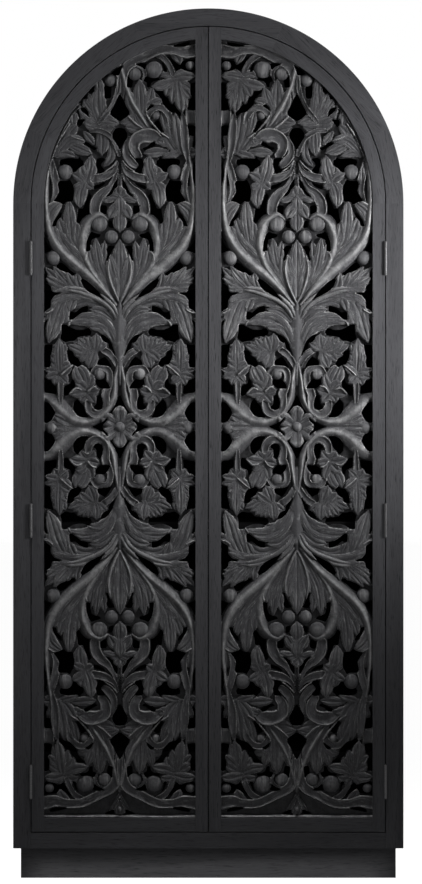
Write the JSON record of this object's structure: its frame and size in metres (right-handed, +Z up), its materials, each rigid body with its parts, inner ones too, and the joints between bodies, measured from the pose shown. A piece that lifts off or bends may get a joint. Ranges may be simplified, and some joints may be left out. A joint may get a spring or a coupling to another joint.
{
  "type": "carved arched cabinet",
  "caption": "Tall round-headed cupboard with pierced foliage-carved door panels on butt hinges, fixed shelves behind them and a set-back plinth.",
  "frame": {"origin": "under the middle of the cabinet on the floor", "axes": "+X to the right across the front, +Y from the front to the back, +Z up"},
  "size_m": [0.986, 0.4058, 2.2],
  "materials": {
    "black_wood": "satin black stain over carved timber, worn lighter on the edges",
    "inside_wood": "flat black stain",
    "hinge_metal": "darkened steel, semi-matt",
    "strike_steel": "zinc-plated sheet",
    "catch_plastic": "matt black moulding"
  },
  "bodies": {
    "cabinet": {"frame_stile_left": "black_wood", "frame_stile_right": "black_wood", "frame_springer_left": "black_wood", "frame_springer_right": "black_wood", "frame_shoulder_left": "black_wood", "frame_shoulder_right": "black_wood", "frame_crown": "black_wood", "frame_bottom_rail": "black_wood", "side_board_left": "black_wood", "side_board_right": "black_wood", "arch_shell_left": "black_wood", "arch_shell_right": "black_wood", "back_panel": "inside_wood", "wall_rail": "inside_wood", "bottom_board": "inside_wood", "shelf_lower": "inside_wood", "shelf_middle": "inside_wood", "shelf_upper": "inside_wood", "shelf_cleats": "inside_wood", "catch_housings": "catch_plastic", "plinth_front": "black_wood", "plinth_back": "black_wood", "plinth_left": "black_wood", "plinth_right": "black_wood", "plinth_corner_blocks": "inside_wood", "hinge_screws_frame": "hinge_metal", "hinge_left_upper_frame_leaf": "hinge_metal", "hinge_left_middle_frame_leaf": "hinge_metal", "hinge_left_lower_frame_leaf": "hinge_metal", "hinge_pins_left": "hinge_metal", "hinge_right_upper_frame_leaf": "hinge_metal", "hinge_right_middle_frame_leaf": "hinge_metal", "hinge_right_lower_frame_leaf": "hinge_metal", "hinge_pins_right": "hinge_metal"},
    "left_door": {"left_door_hinge_stile": "black_wood", "left_door_meeting_stile": "black_wood", "left_door_bottom_rail": "black_wood", "left_door_springer": "black_wood", "left_door_shoulder": "black_wood", "left_door_crown": "black_wood", "left_door_carved_panel": "black_wood", "left_door_strike_plate": "strike_steel", "hinge_left_upper_door_leaf": "hinge_metal", "hinge_left_middle_door_leaf": "hinge_metal", "hinge_left_lower_door_leaf": "hinge_metal", "hinge_screws_left_door": "hinge_metal"},
    "right_door": {"right_door_hinge_stile": "black_wood", "right_door_meeting_stile": "black_wood", "right_door_bottom_rail": "black_wood", "right_door_springer": "black_wood", "right_door_shoulder": "black_wood", "right_door_crown": "black_wood", "right_door_carved_panel": "black_wood", "right_door_strike_plate": "strike_steel", "hinge_right_upper_door_leaf": "hinge_metal", "hinge_right_middle_door_leaf": "hinge_metal", "hinge_right_lower_door_leaf": "hinge_metal", "hinge_screws_right_door": "hinge_metal"}
  },
  "joints": [
    {"name": "left_door_hinge", "type": "hinge", "parent": "cabinet", "child": "left_door", "pos_m": [-0.44775, -0.1991, 0.9], "axis": [0, 0, -1], "range_deg": [0, 170]},
    {"name": "right_door_hinge", "type": "hinge", "parent": "cabinet", "child": "right_door", "pos_m": [0.44775, -0.1991, 0.9], "axis": [0, 0, 1], "range_deg": [0, 170]}
  ]
}
